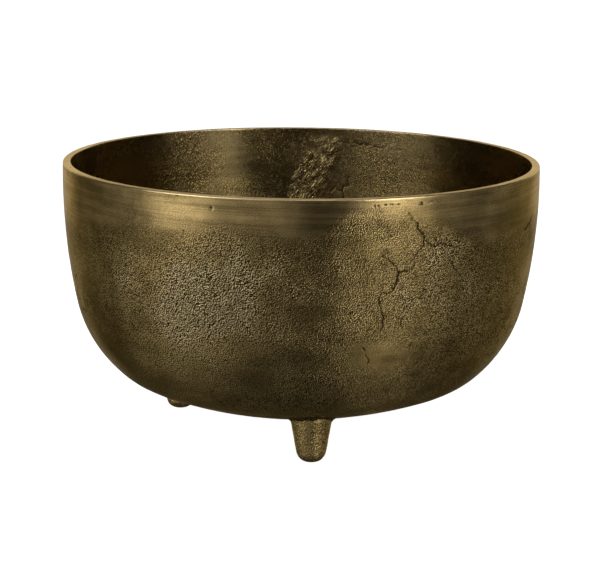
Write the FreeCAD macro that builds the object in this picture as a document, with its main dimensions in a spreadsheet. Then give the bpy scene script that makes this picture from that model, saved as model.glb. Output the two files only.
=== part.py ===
import FreeCAD, Part
import math
import os

import Sketcher
from FreeCAD import Placement, Rotation, Vector

# A cast brass urli bowl: one deep round casting that stands on three stub feet.
# Each foot is a casting of its own. It is coped to the bowl's underside, located by
# a short spigot in a blind socket, and brazed on with a fillet round its root.
#
# Frame: millimetres, +Z up, the floor at Z = 0, the bowl's axis on Z, the front foot on -Y.

# Driving dimensions: alias, value and what the value is (millimetres and degrees).
DIMENSIONS = [
    ("rim_radius", 150.0, "outer radius at the rim"),
    ("rim_height", 172.2, "top of the rim above the floor"),
    ("wall_thickness", 5.3, "thickness of the casting"),
    ("rim_rounding", 1.1, "rounding of the rim's outer edge"),
    ("mouth_rounding", 0.6, "rounding of the rim's inner edge"),
    ("rim_lean_angle", 1.6, "how far the wall leans outward just below the rim"),
    ("wall_arc_radius", 374.0, "outer arc of the upper wall"),
    ("wall_arc_sweep", 13.4, "angle of the upper wall's arc"),
    ("shoulder_arc_radius", 82.3, "outer arc where the wall turns in"),
    ("shoulder_arc_sweep", 36.2, "angle of the shoulder's arc"),
    ("hip_arc_radius", 47.2, "outer arc where the shoulder meets the underside"),
    ("hip_arc_sweep", 19.5, "angle of the hip's arc"),
    ("foot_circle_radius", 86.5, "distance from the bowl's axis to a foot's axis"),
    ("foot_tip_radius", 8.2, "radius of a foot's cone where it meets the floor"),
    ("foot_draft_angle", 9.9, "draft of a foot's side"),
    ("foot_toe_rounding", 7.0, "rounding between a foot's side and its flat"),
    ("foot_blank_height", 34.0, "height of a foot before it is coped"),
    ("spigot_radius", 4.0, "radius of the locating spigot and its socket"),
    ("spigot_height", 28.5, "top of the spigot above the floor"),
    ("braze_radius", 2.2, "fillet of braze round a foot's root"),
    ("foot_count", 3, "number of feet, evenly spaced"),
    ("front_foot_angle", -90.0, "direction of the front foot from +X"),
]

# Sketcher's names for the points of a curve and for the two axes of a sketch.
START, END, CENTRE = 1, 2, 3
ORIGIN_POINT = (-1, 1)
HORIZONTAL_AXIS = -1
VERTICAL_AXIS = -2
FULL_TURN = 360.0
RIGHT_ANGLE = 90.0
TOOL_CLEARANCE = 3.0  # how far a cutting tool runs past the piece that it cuts
EDGE_TOLERANCE = 0.2  # how closely an edge's place and radius are matched to find it
BALL_CAP_LATITUDE = -60.0  # where the underside's ball is cut off, well above the feet
ROOT_LOOP_LIMIT = 3.0  # the loop at a foot's root is less wide than this many foot radii
MM3_PER_CM3 = 1000.0

# The radius at which a foot's cone would reach the top of its blank.
FOOT_TOP_RADIUS = ("dimensions.foot_tip_radius"
                   " + dimensions.foot_blank_height * tan(dimensions.foot_draft_angle * 1 deg)")

doc = FreeCAD.newDocument("urli_bowl")


def add_sheet():
    """The spreadsheet that every size is bound to."""
    new_sheet = doc.addObject("Spreadsheet::Sheet", "dimensions")
    for row, (alias, value, meaning) in enumerate(DIMENSIONS, start=1):
        new_sheet.set(f"A{row}", meaning)
        new_sheet.set(f"B{row}", str(value))
        new_sheet.setAlias(f"B{row}", alias)
    doc.recompute()
    return new_sheet


sheet = add_sheet()


def size(alias):
    return float(getattr(sheet, alias))


def add_body(label):
    body = doc.addObject("PartDesign::Body", label)
    body.Label = label
    return body


def origin_feature(body, role):
    return next(item for item in body.Origin.OriginFeatures if item.Role == role)


def add_sketch(body, name):
    """A sketch on the body's XZ plane: across is X, up is Z."""
    sketch = body.newObject("Sketcher::SketchObject", name)
    sketch.AttachmentSupport = [(origin_feature(body, "XZ_Plane"), "")]
    sketch.MapMode = "FlatFace"
    return sketch


def add_arc(sketch, centre_x, centre_z, radius, low_angle, high_angle):
    """An arc that runs counter-clockwise from low_angle to high_angle, in degrees."""
    circle = Part.Circle(Vector(centre_x, centre_z, 0), Vector(0, 0, 1), radius)
    arc = Part.ArcOfCircle(circle, math.radians(low_angle), math.radians(high_angle))
    return sketch.addGeometry(arc, False)


def add_line(sketch, start, end, construction=False):
    return sketch.addGeometry(Part.LineSegment(Vector(*start, 0), Vector(*end, 0)), construction)


def add_outline(sketch, points):
    """Straight edges through the points in turn, joined end to end, not closed."""
    lines = [add_line(sketch, start, end) for start, end in zip(points, points[1:])]
    for line, following in zip(lines, lines[1:]):
        join(sketch, (line, END), (following, START))
    return lines


def join(sketch, first, second):
    sketch.addConstraint(Sketcher.Constraint("Coincident", *first, *second))


def make_tangent(sketch, first, second):
    sketch.addConstraint(Sketcher.Constraint("Tangent", *first, *second))


def put_on_axis(sketch, point, axis):
    sketch.addConstraint(Sketcher.Constraint("PointOnObject", *point, axis))


def bind(sketch, constraint, expression):
    """Add a dimension and bind it to the sheet."""
    index = sketch.addConstraint(constraint)
    sketch.setExpression(f"Constraints[{index}]", expression)


def distance(kind, start, end, value):
    return Sketcher.Constraint(kind, *start, *end, value)


def add_revolution(body, kind, name, sketch, axis_name):
    feature = body.newObject(kind, name)
    feature.Profile = sketch
    feature.ReferenceAxis = (sketch, [axis_name])
    feature.Angle = FULL_TURN
    return feature


def outer_arcs():
    """The outside of the bowl from the rim down: centre, radius, low and high angle of each arc."""
    arcs = []
    high_angle = size("rim_lean_angle")
    edge_x = size("rim_radius")
    edge_z = size("rim_height")
    for name in ("wall", "shoulder", "hip"):
        radius = size(f"{name}_arc_radius")
        low_angle = high_angle - size(f"{name}_arc_sweep")
        centre_x = edge_x - radius * math.cos(math.radians(high_angle))
        centre_z = edge_z - radius * math.sin(math.radians(high_angle))
        arcs.append((centre_x, centre_z, radius, low_angle, high_angle))
        edge_x = centre_x + radius * math.cos(math.radians(low_angle))
        edge_z = centre_z + radius * math.sin(math.radians(low_angle))
        high_angle = low_angle
    base_radius = edge_x / math.cos(math.radians(high_angle))
    base_centre_z = edge_z - base_radius * math.sin(math.radians(high_angle))
    arcs.append((0.0, base_centre_z, base_radius, -RIGHT_ANGLE, high_angle))
    return arcs


def constrain_outer_arcs(sketch, outer):
    """Tangent arcs from the rim to the axis; the base arc's size follows from the others."""
    wall, base = outer[0], outer[-1]
    for upper, lower in zip(outer, outer[1:]):
        make_tangent(sketch, (upper, START), (lower, END))
    for name, arc in zip(("wall", "shoulder", "hip"), outer):
        radius = size(f"{name}_arc_radius")
        sweep = math.radians(size(f"{name}_arc_sweep"))
        bind(sketch, Sketcher.Constraint("Radius", arc, radius), f"dimensions.{name}_arc_radius")
        bind(sketch, Sketcher.Constraint("Angle", arc, sweep), f"dimensions.{name}_arc_sweep * 1 deg")
    bind(sketch, distance("DistanceX", ORIGIN_POINT, (wall, END), size("rim_radius")),
         "dimensions.rim_radius")
    bind(sketch, distance("DistanceY", ORIGIN_POINT, (wall, END), size("rim_height")),
         "dimensions.rim_height")
    lean_offset = size("wall_arc_radius") * math.sin(math.radians(size("rim_lean_angle")))
    bind(sketch, distance("DistanceY", (wall, CENTRE), (wall, END), lean_offset),
         "dimensions.wall_arc_radius * sin(dimensions.rim_lean_angle * 1 deg)")
    put_on_axis(sketch, (base, CENTRE), VERTICAL_AXIS)
    put_on_axis(sketch, (base, START), VERTICAL_AXIS)


def read_off_base(sketch, base, centre_height, radius):
    """Two dimensions that follow from the rest, named so that the feet can be bound to them."""
    base_radius = sketch.addConstraint(Sketcher.Constraint("Radius", base, radius))
    base_height = sketch.addConstraint(distance("DistanceY", ORIGIN_POINT, (base, CENTRE), centre_height))
    sketch.setDriving(base_radius, False)
    sketch.setDriving(base_height, False)
    sketch.renameConstraint(base_radius, "base_arc_radius")
    sketch.renameConstraint(base_height, "base_centre_height")


def constrain_inner_arcs(sketch, outer, inner):
    """The inside is the outside offset by the wall's thickness, arc by arc."""
    for outside, inside in zip(outer, inner):
        join(sketch, (inside, CENTRE), (outside, CENTRE))
    for upper, lower in zip(inner, inner[1:]):
        make_tangent(sketch, (upper, START), (lower, END))
    inside_radius = size("wall_arc_radius") - size("wall_thickness")
    bind(sketch, Sketcher.Constraint("Radius", inner[0], inside_radius),
         "dimensions.wall_arc_radius - dimensions.wall_thickness")
    put_on_axis(sketch, (inner[-1], START), VERTICAL_AXIS)


def draw_bowl_profile(body):
    """Half of the bowl's section: outer and inner arcs, closed at the rim and on the axis."""
    sketch = add_sketch(body, "bowl_profile")
    thickness = size("wall_thickness")
    arcs = outer_arcs()
    outer = [add_arc(sketch, *arc) for arc in arcs]
    inner = [add_arc(sketch, x, z, radius - thickness, low, high) for x, z, radius, low, high in arcs]
    rim_height = size("rim_height")
    rim = add_line(sketch, (size("rim_radius"), rim_height), (size("rim_radius") - thickness, rim_height))
    underside = arcs[-1][1] - arcs[-1][2]
    core = add_line(sketch, (0.0, underside + thickness), (0.0, underside))
    constrain_outer_arcs(sketch, outer)
    constrain_inner_arcs(sketch, outer, inner)
    join(sketch, (rim, START), (outer[0], END))
    join(sketch, (rim, END), (inner[0], END))
    sketch.addConstraint(Sketcher.Constraint("Horizontal", rim))
    join(sketch, (core, START), (inner[-1], START))
    join(sketch, (core, END), (outer[-1], START))
    read_off_base(sketch, outer[-1], arcs[-1][1], arcs[-1][2])
    return sketch


def rim_edge(shape, radius):
    """The name of the round edge of this radius at the top of the rim."""
    for number, edge in enumerate(shape.Edges, start=1):
        box = edge.BoundBox
        is_at_top = abs(box.ZMin - size("rim_height")) < EDGE_TOLERANCE
        if is_at_top and abs(box.XLength / 2 - radius) < EDGE_TOLERANCE:
            return f"Edge{number}"
    raise RuntimeError("the rim's edge is missing")


def add_rim_fillet(body, name, base, edge_radius, alias):
    fillet = body.newObject("PartDesign::Fillet", name)
    fillet.Base = (base, [rim_edge(base.Shape, edge_radius)])
    fillet.setExpression("Radius", f"dimensions.{alias}")
    doc.recompute()
    return fillet


def add_sockets(body):
    """Blind sockets in the underside, one for each foot's spigot."""
    sketch = add_sketch(body, "socket_profile")
    axis_x = size("foot_circle_radius")
    edge_x = axis_x + size("spigot_radius")
    top = size("spigot_height")
    corners = [(axis_x, 0.0), (edge_x, 0.0), (edge_x, top), (axis_x, top), (axis_x, 0.0)]
    floor, side, roof, centre_line = add_outline(sketch, corners)
    join(sketch, (centre_line, END), (floor, START))
    axis = add_line(sketch, (axis_x, 0.0), (axis_x, top), construction=True)
    join(sketch, (axis, START), (floor, START))
    join(sketch, (axis, END), (roof, END))
    for line in (floor, roof):
        sketch.addConstraint(Sketcher.Constraint("Horizontal", line))
    for line in (side, centre_line):
        sketch.addConstraint(Sketcher.Constraint("Vertical", line))
    put_on_axis(sketch, (floor, START), HORIZONTAL_AXIS)
    bind(sketch, distance("DistanceX", ORIGIN_POINT, (floor, START), axis_x),
         "dimensions.foot_circle_radius")
    bind(sketch, distance("DistanceX", (floor, START), (floor, END), edge_x - axis_x),
         "dimensions.spigot_radius")
    bind(sketch, distance("DistanceY", (side, START), (side, END), top),
         "dimensions.spigot_height")
    socket = add_revolution(body, "PartDesign::Groove", "socket", sketch, "Axis0")
    doc.recompute()
    pattern = body.newObject("PartDesign::PolarPattern", "sockets")
    pattern.Originals = [socket]
    pattern.Axis = (origin_feature(body, "Z_Axis"), [""])
    pattern.Angle = FULL_TURN
    pattern.setExpression("Occurrences", "dimensions.foot_count")
    body.Tip = pattern
    doc.recompute()


def build_bowl():
    """The bowl: a revolved section, its two rim edges rounded, with a socket for each foot."""
    body = add_body("bowl_shell")
    sketch = draw_bowl_profile(body)
    casting = add_revolution(body, "PartDesign::Revolution", "casting", sketch, "V_Axis")
    doc.recompute()
    outer_rim = add_rim_fillet(body, "rim_edge", casting, size("rim_radius"), "rim_rounding")
    mouth_radius = size("rim_radius") - size("wall_thickness")
    add_rim_fillet(body, "mouth_edge", outer_rim, mouth_radius, "mouth_rounding")
    blank_volume = body.Shape.Volume
    add_sockets(body)
    if body.Shape.Volume >= blank_volume:
        raise RuntimeError("the sockets cut nothing")
    body.Placement = Placement(Vector(0, 0, 0), Rotation(Vector(0, 0, 1), size("front_foot_angle")))
    return body


def foot_top_radius():
    draft = math.radians(size("foot_draft_angle"))
    return size("foot_tip_radius") + size("foot_blank_height") * math.tan(draft)


def draw_foot_profile(body):
    """Half of a foot's section about its own axis: a small flat, a round toe, a tapered side."""
    sketch = add_sketch(body, f"{body.Label}_profile")
    top = size("foot_blank_height")
    top_radius = foot_top_radius()
    side_angle = RIGHT_ANGLE - size("foot_draft_angle")
    toe_radius = size("foot_toe_rounding")
    side_direction = Vector(math.cos(math.radians(side_angle)), math.sin(math.radians(side_angle)), 0)
    toe_reach = toe_radius * math.tan(math.radians(side_angle) / 2)
    flat_radius = size("foot_tip_radius") - toe_reach
    toe_end = Vector(size("foot_tip_radius"), 0, 0) + side_direction * toe_reach
    flat = add_line(sketch, (0.0, 0.0), (flat_radius, 0.0))
    toe = add_arc(sketch, flat_radius, toe_radius, toe_radius, -RIGHT_ANGLE, side_angle - RIGHT_ANGLE)
    side = add_line(sketch, (toe_end.x, toe_end.y), (top_radius, top))
    roof = add_line(sketch, (top_radius, top), (0.0, top))
    core = add_line(sketch, (0.0, top), (0.0, 0.0))
    make_tangent(sketch, (flat, END), (toe, START))
    make_tangent(sketch, (toe, END), (side, START))
    join(sketch, (side, END), (roof, START))
    join(sketch, (roof, END), (core, START))
    join(sketch, (core, END), (flat, START))
    for line in (flat, roof):
        sketch.addConstraint(Sketcher.Constraint("Horizontal", line))
    sketch.addConstraint(Sketcher.Constraint("Vertical", core))
    join(sketch, (flat, START), ORIGIN_POINT)
    bind(sketch, Sketcher.Constraint("Radius", toe, toe_radius), "dimensions.foot_toe_rounding")
    bind(sketch, Sketcher.Constraint("Angle", side, math.radians(side_angle)),
         "90 deg - dimensions.foot_draft_angle * 1 deg")
    bind(sketch, distance("DistanceY", ORIGIN_POINT, (roof, END), top), "dimensions.foot_blank_height")
    bind(sketch, distance("DistanceX", ORIGIN_POINT, (side, END), top_radius), FOOT_TOP_RADIUS)
    return sketch


def draw_cope(body, bowl_profile):
    """What the bowl's underside takes off a foot's top, turned about the bowl's axis."""
    sketch = add_sketch(body, f"{body.Label}_cope")
    bowl_axis_x = -size("foot_circle_radius")
    ball_radius = bowl_profile.getDatum("base_arc_radius").Value
    ball_height = bowl_profile.getDatum("base_centre_height").Value
    reach = foot_top_radius() + TOOL_CLEARANCE
    top = size("foot_blank_height") + TOOL_CLEARANCE

    def underside(x):
        return ball_height - math.sqrt(ball_radius ** 2 - (x - bowl_axis_x) ** 2)

    inner_low, outer_low = (-reach, underside(-reach)), (reach, underside(reach))
    angles = [math.degrees(math.atan2(z - ball_height, x - bowl_axis_x)) for x, z in (inner_low, outer_low)]
    cope = add_arc(sketch, bowl_axis_x, ball_height, ball_radius, *angles)
    outer_side, roof, inner_side = add_outline(sketch, [outer_low, (reach, top), (-reach, top), inner_low])
    axis = add_line(sketch, (bowl_axis_x, ball_height), (bowl_axis_x, 0.0), construction=True)
    join(sketch, (cope, END), (outer_side, START))
    join(sketch, (inner_side, END), (cope, START))
    join(sketch, (axis, START), (cope, CENTRE))
    put_on_axis(sketch, (axis, END), HORIZONTAL_AXIS)
    for line in (outer_side, inner_side, axis):
        sketch.addConstraint(Sketcher.Constraint("Vertical", line))
    sketch.addConstraint(Sketcher.Constraint("Horizontal", roof))
    bind(sketch, Sketcher.Constraint("Radius", cope, ball_radius),
         "bowl_profile.Constraints.base_arc_radius")
    bind(sketch, distance("DistanceX", (cope, CENTRE), ORIGIN_POINT, -bowl_axis_x),
         "dimensions.foot_circle_radius")
    bind(sketch, distance("DistanceY", ORIGIN_POINT, (cope, CENTRE), ball_height),
         "bowl_profile.Constraints.base_centre_height")
    bind(sketch, distance("DistanceX", ORIGIN_POINT, (outer_side, END), reach),
         f"{FOOT_TOP_RADIUS} + {TOOL_CLEARANCE}")
    bind(sketch, distance("DistanceX", (inner_side, START), ORIGIN_POINT, reach),
         f"{FOOT_TOP_RADIUS} + {TOOL_CLEARANCE}")
    bind(sketch, distance("DistanceY", ORIGIN_POINT, (roof, START), top),
         f"dimensions.foot_blank_height + {TOOL_CLEARANCE}")
    return sketch


def draw_spigot(body):
    """The locating spigot: a short plug that stands from inside the foot into the bowl's socket."""
    sketch = add_sketch(body, f"{body.Label}_spigot")
    low = size("foot_blank_height") / 2
    top = size("spigot_height")
    radius = size("spigot_radius")
    corners = [(0.0, low), (radius, low), (radius, top), (0.0, top), (0.0, low)]
    floor, side, roof, core = add_outline(sketch, corners)
    join(sketch, (core, END), (floor, START))
    for line in (floor, roof):
        sketch.addConstraint(Sketcher.Constraint("Horizontal", line))
    for line in (side, core):
        sketch.addConstraint(Sketcher.Constraint("Vertical", line))
    put_on_axis(sketch, (core, START), VERTICAL_AXIS)
    bind(sketch, distance("DistanceY", ORIGIN_POINT, (floor, START), low),
         "dimensions.foot_blank_height / 2")
    bind(sketch, distance("DistanceX", (floor, START), (floor, END), radius), "dimensions.spigot_radius")
    bind(sketch, distance("DistanceY", ORIGIN_POINT, (roof, END), top), "dimensions.spigot_height")
    return sketch


def foot_placement(number):
    """Where a foot stands: the feet are evenly spaced round the bowl's axis from the front one."""
    angle = size("front_foot_angle") + number * FULL_TURN / size("foot_count")
    turn = Rotation(Vector(0, 0, 1), angle)
    return Placement(turn.multVec(Vector(size("foot_circle_radius"), 0, 0)), turn)


def build_foot(label, number, bowl_profile):
    """A foot: a tapered casting, coped to the bowl's underside, with a spigot on top."""
    body = add_body(label)
    profile = draw_foot_profile(body)
    add_revolution(body, "PartDesign::Revolution", f"{label}_casting", profile, "V_Axis")
    doc.recompute()
    blank_volume = body.Shape.Volume
    cope = draw_cope(body, bowl_profile)
    add_revolution(body, "PartDesign::Groove", f"{label}_coping", cope, "Axis0")
    doc.recompute()
    if body.Shape.Volume >= blank_volume:
        raise RuntimeError("the cope cut nothing")
    spigot = draw_spigot(body)
    add_revolution(body, "PartDesign::Revolution", f"{label}_plug", spigot, "V_Axis")
    doc.recompute()
    body.Placement = foot_placement(number)
    return body


def add_root_tools(label):
    """The two shapes that meet at a foot's root: the underside's ball and the foot's cone."""
    # The seams of both shapes are turned off their plane of symmetry, where a fillet would fail.
    quarter_turn = Rotation(Vector(0, 0, 1), FULL_TURN / 4)
    ball = doc.addObject("Part::Sphere", f"{label}_underside")
    ball.Placement.Rotation = quarter_turn
    ball.Angle2 = BALL_CAP_LATITUDE
    ball.setExpression("Radius", "bowl_profile.Constraints.base_arc_radius")
    ball.setExpression("Placement.Base.x", "-dimensions.foot_circle_radius")
    ball.setExpression("Placement.Base.z", "bowl_profile.Constraints.base_centre_height")
    cone = doc.addObject("Part::Cone", f"{label}_foot")
    cone.Placement.Rotation = quarter_turn
    cone.setExpression("Radius1", "dimensions.foot_tip_radius")
    cone.setExpression("Radius2", FOOT_TOP_RADIUS)
    cone.setExpression("Height", "dimensions.foot_blank_height")
    return ball, cone


def root_edge(shape):
    """The number of the edge where the cone runs into the ball."""
    for number, edge in enumerate(shape.Edges, start=1):
        box = edge.BoundBox
        is_loop = edge.Closed and not edge.Degenerated
        is_above_toe = box.ZMin > size("foot_toe_rounding")
        if is_loop and is_above_toe and box.XLength < ROOT_LOOP_LIMIT * foot_top_radius():
            return number
    raise RuntimeError("the root's edge is missing")


def build_braze(label, number):
    """The ring of braze round a foot's root: a fillet less the bowl and the foot that it joins."""
    ball, cone = add_root_tools(label)
    lump = doc.addObject("Part::Fuse", f"{label}_lump")
    lump.Base, lump.Tool = ball, cone
    doc.recompute()
    fillet = doc.addObject("Part::Fillet", f"{label}_fillet")
    fillet.Base = lump
    fillet.Edges = [(root_edge(lump.Shape), size("braze_radius"), size("braze_radius"))]
    around_bowl = doc.addObject("Part::Cut", f"{label}_off_bowl")
    around_bowl.Base, around_bowl.Tool = fillet, ball
    ring = doc.addObject("Part::Cut", label)
    ring.Base, ring.Tool = around_bowl, cone
    ring.Label = label
    doc.recompute()
    ring.Placement = foot_placement(number)
    return ring


def check_document(pieces):
    """Stop if any feature failed or a piece isn't one valid closed solid."""
    for item in doc.Objects:
        if {"Invalid", "Error"} & set(item.State):
            raise RuntimeError(f"{item.Name} failed: {item.State}")
    for piece in pieces:
        shape = piece.Shape
        if shape.isNull() or not shape.isValid() or len(shape.Solids) != 1:
            raise RuntimeError(f"{piece.Label} is not one valid solid")


def main():
    bowl = build_bowl()
    bowl_profile = doc.getObject("bowl_profile")
    pieces = [bowl]
    for number, place in enumerate(("front", "rear_right", "rear_left")):
        pieces.append(build_foot(f"foot_{place}", number, bowl_profile))
        pieces.append(build_braze(f"braze_{place}", number))
    doc.recompute()
    check_document(pieces)
    os.makedirs("parts", exist_ok=True)
    for piece in pieces:
        piece.Shape.exportStep(os.path.join("parts", f"{piece.Label}.step"))
        print(f"{piece.Label}: {piece.Shape.Volume / MM3_PER_CM3:.2f} cm3")


main()
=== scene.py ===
import math

import bpy
import numpy as np
from mathutils import Matrix, Vector


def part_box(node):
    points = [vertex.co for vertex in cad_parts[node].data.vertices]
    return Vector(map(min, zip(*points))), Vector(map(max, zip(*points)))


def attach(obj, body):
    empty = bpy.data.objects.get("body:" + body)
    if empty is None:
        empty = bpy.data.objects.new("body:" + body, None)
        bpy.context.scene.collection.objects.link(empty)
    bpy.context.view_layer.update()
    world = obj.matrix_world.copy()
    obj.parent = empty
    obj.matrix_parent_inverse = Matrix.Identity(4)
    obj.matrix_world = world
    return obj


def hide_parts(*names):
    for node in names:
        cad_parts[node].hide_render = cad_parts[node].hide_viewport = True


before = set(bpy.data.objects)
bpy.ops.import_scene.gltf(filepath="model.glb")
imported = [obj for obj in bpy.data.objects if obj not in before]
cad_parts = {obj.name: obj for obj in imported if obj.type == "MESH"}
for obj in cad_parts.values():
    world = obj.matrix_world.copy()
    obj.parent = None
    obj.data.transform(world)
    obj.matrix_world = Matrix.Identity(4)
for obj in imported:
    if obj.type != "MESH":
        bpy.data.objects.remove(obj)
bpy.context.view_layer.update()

# A cast brass urli bowl on three stub feet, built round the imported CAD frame. Lengths are in
# metres, except that the features of the casting are listed in mm and scaled where they are used.
# Azimuths are in degrees from the front foot, which is on -Y, and grow towards +X, on its right.
MM = 0.001
SEED = 4711

# The bowl's section, as the CAD has it: the arcs are radius and sweep, from the rim down.
RIM_RADIUS = 150.0 * MM
RIM_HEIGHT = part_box("bowl_shell")[1][2]
WALL_THICKNESS = 5.3 * MM
RIM_LEAN = 1.6
OUTER_ARCS = ((374.0 * MM, 13.4), (82.3 * MM, 36.2), (47.2 * MM, 19.5))
RIM_ROUNDING = 1.1 * MM
MOUTH_ROUNDING = 0.6 * MM
SKIN_INSET = 0.22 * MM

# The feet, as the CAD has them.
FOOT_CIRCLE = 86.5 * MM
FOOT_TIP_RADIUS = 8.2 * MM
FOOT_DRAFT = 9.9
FOOT_TOE = 7.0 * MM
FOOT_SITES = {"front": 0.0, "rear_right": 120.0, "rear_left": 240.0}

# How finely the bowl's skin is divided. The section is first drawn with close steps, and then
# rings are set this far apart in mm, up to each height in mm.
SECTION_STEP = 0.05 * MM
ROUNDING_STEP = 0.01 * MM
OUTSIDE_GAPS = ((22, 1.5), (66, 1.0), (999, 0.46))
INSIDE_GAPS = ((40, 1.6), (105, 0.95), (999, 0.65))
EDGE_GAP, FLAT_GAP, MOUTH_GAP = 0.2, 0.55, 0.16
# Columns are closer together in these sectors, for the cracks and pits: the azimuths where it
# starts, is full, starts to fade and ends, and by what share.
COLUMNS = 1024
DENSE_SECTORS = (
    (4, 9, 33, 38, 0.64),
    (150, 157, 177, 180, 0.55),
    (-27.5, -26.5, -23.5, -22.5, 0.6),
    (-35, -34, -31, -30, 0.5),
)
# Rings with radii in mm above these have a point on every 1st, 2nd, 4th, 8th and 16th column.
FULL_RINGS = (84, 42, 21, 10.5, 5)


# ---------------------------------------------------------------- noise

NOISE_GAIN = 1.9
LATTICE_OFFSET = 37.3


def hashed(cells, salt):
    """A repeatable number for each cell of a 3D lattice."""
    x, y, z = (cells[..., axis].astype(np.uint32) for axis in range(3))
    h = x * np.uint32(374761393) + y * np.uint32(668265263) + z * np.uint32(2147483647)
    h = h + np.uint32((salt * 2654435761 + SEED) % 4294967296)
    h = (h ^ (h >> np.uint32(13))) * np.uint32(1274126177)
    h = (h ^ (h >> np.uint32(16))) * np.uint32(2246822519)
    return h ^ (h >> np.uint32(15))


def noise(points, wavelength, salt):
    """Gradient noise, about -1 to 1, with features about a wavelength in mm apart.

    The salt tells one noise from another. The lattice is turned, so that it never lines up with
    the bowl's axes.
    """
    turn = Matrix.Rotation(0.7 + salt, 3, Vector((0.3, 1.0, 0.5)).normalized())
    spots = points @ np.array(turn).T / (wavelength * MM) + LATTICE_OFFSET
    base = np.floor(spots)
    part = spots - base
    ease = part ** 3 * (part * (part * 6 - 15) + 10)
    cells = base.astype(np.int64)
    total = np.zeros(len(points))
    for corner in np.ndindex(2, 2, 2):
        step = np.array(corner)
        h = hashed(cells + step, salt)
        angle = (h & np.uint32(1023)) * (2 * math.pi / 1024)
        up = ((h >> np.uint32(10)) & np.uint32(1023)) / 511.5 - 1
        flat = np.sqrt(np.clip(1 - up ** 2, 0, 1))
        away = part - step
        level = away[:, 0] * flat * np.cos(angle) + away[:, 1] * flat * np.sin(angle)
        weight = np.prod(np.where(step, ease, 1 - ease), axis=1)
        total += (level + away[:, 2] * up) * weight
    return total * NOISE_GAIN


def smoothstep(low, high, value):
    t = np.clip((value - low) / (high - low), 0, 1)
    return t * t * (3 - 2 * t)


def bell(value, centre, width):
    return np.exp(-((value - centre) / width) ** 2)


# ---------------------------------------------------------------- meshes

def mesh_object(name, points, faces, attributes=None):
    """A smooth-shaded object from points and arrays of triangles and quads."""
    mesh = bpy.data.meshes.new(name)
    mesh.vertices.add(len(points))
    mesh.vertices.foreach_set("co", np.ascontiguousarray(points, dtype=np.float32).ravel())
    loops = np.concatenate([part.ravel() for part in faces])
    sides = np.concatenate([np.full(len(part), part.shape[1]) for part in faces])
    starts = np.concatenate([[0], np.cumsum(sides)[:-1]])
    mesh.loops.add(len(loops))
    mesh.loops.foreach_set("vertex_index", loops.astype(np.int32))
    mesh.polygons.add(len(sides))
    mesh.polygons.foreach_set("loop_start", starts.astype(np.int32))
    mesh.polygons.foreach_set("use_smooth", np.ones(len(sides), dtype=bool))
    mesh.update(calc_edges=True)
    mesh.validate()
    for key, values in (attributes or {}).items():
        layer = mesh.attributes.new(key, "FLOAT", "POINT")
        layer.data.foreach_set("value", np.ascontiguousarray(values, dtype=np.float32))
    item = bpy.data.objects.new(name, mesh)
    bpy.context.scene.collection.objects.link(item)
    return item


def lathe_faces(steps, columns):
    """Faces of a closed turned skin with a pole at each end.

    Each ring has a point on every step'th column, and a ring next to one with half as many
    points is joined to it by triangles.
    """
    counts = [columns // step for step in steps]
    first = 1 + np.concatenate([[0], np.cumsum(counts)])
    quads, triangles = [], []
    for ring in range(len(steps) - 1):
        low, high = first[ring], first[ring + 1]
        here = np.arange(min(counts[ring], counts[ring + 1]))
        after = np.roll(here, -1)
        if counts[ring] == counts[ring + 1]:
            quads.append(np.stack([low + here, low + after, high + after, high + here], 1))
        elif counts[ring] < counts[ring + 1]:
            left, middle, right = high + 2 * here, high + 2 * here + 1, high + 2 * after
            triangles += [np.stack([low + here, middle, left], 1),
                          np.stack([low + here, low + after, middle], 1),
                          np.stack([low + after, right, middle], 1)]
        else:
            left, middle, right = low + 2 * here, low + 2 * here + 1, low + 2 * after
            triangles += [np.stack([left, middle, high + here], 1),
                          np.stack([middle, high + after, high + here], 1),
                          np.stack([middle, right, high + after], 1)]
    here = np.arange(counts[0])
    triangles.append(np.stack([np.zeros_like(here), 1 + np.roll(here, -1), 1 + here], 1))
    here = np.arange(counts[-1])
    pole = first[-1] + np.zeros_like(here)
    triangles.append(np.stack([pole, first[-2] + here, first[-2] + np.roll(here, -1)], 1))
    return [np.concatenate(quads), np.concatenate(triangles)]


# ---------------------------------------------------------------- the bowl's section

def section_arcs():
    """Arcs of the bowl's outside from the underside up: centre, radius, low and high angle."""
    arcs = []
    high, x, z = RIM_LEAN, RIM_RADIUS, RIM_HEIGHT
    for radius, sweep in OUTER_ARCS:
        low = high - sweep
        centre_x = x - radius * math.cos(math.radians(high))
        centre_z = z - radius * math.sin(math.radians(high))
        arcs.append((centre_x, centre_z, radius, low, high))
        x = centre_x + radius * math.cos(math.radians(low))
        z = centre_z + radius * math.sin(math.radians(low))
        high = low
    base = x / math.cos(math.radians(high))
    arcs.append((0.0, z - base * math.sin(math.radians(high)), base, -90.0, high))
    return arcs[::-1]


ARCS = section_arcs()
BASE_CENTRE, BASE_RADIUS = ARCS[0][1], ARCS[0][2]


def underside(radius):
    """Height of the bowl's underside this far from its axis."""
    return BASE_CENTRE - np.sqrt(BASE_RADIUS ** 2 - radius ** 2)


def arc_points(centre_x, centre_z, radius, start, end, step=SECTION_STEP):
    """Points along an arc and the directions out from its centre, as rows x, z, out x, out z."""
    count = max(4, int(abs(math.radians(end - start)) * radius / step))
    angle = np.radians(np.linspace(start, end, count, endpoint=False))
    out = np.stack([np.cos(angle), np.sin(angle)], 1)
    return np.hstack([np.array([centre_x, centre_z]) + radius * out, out])


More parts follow.
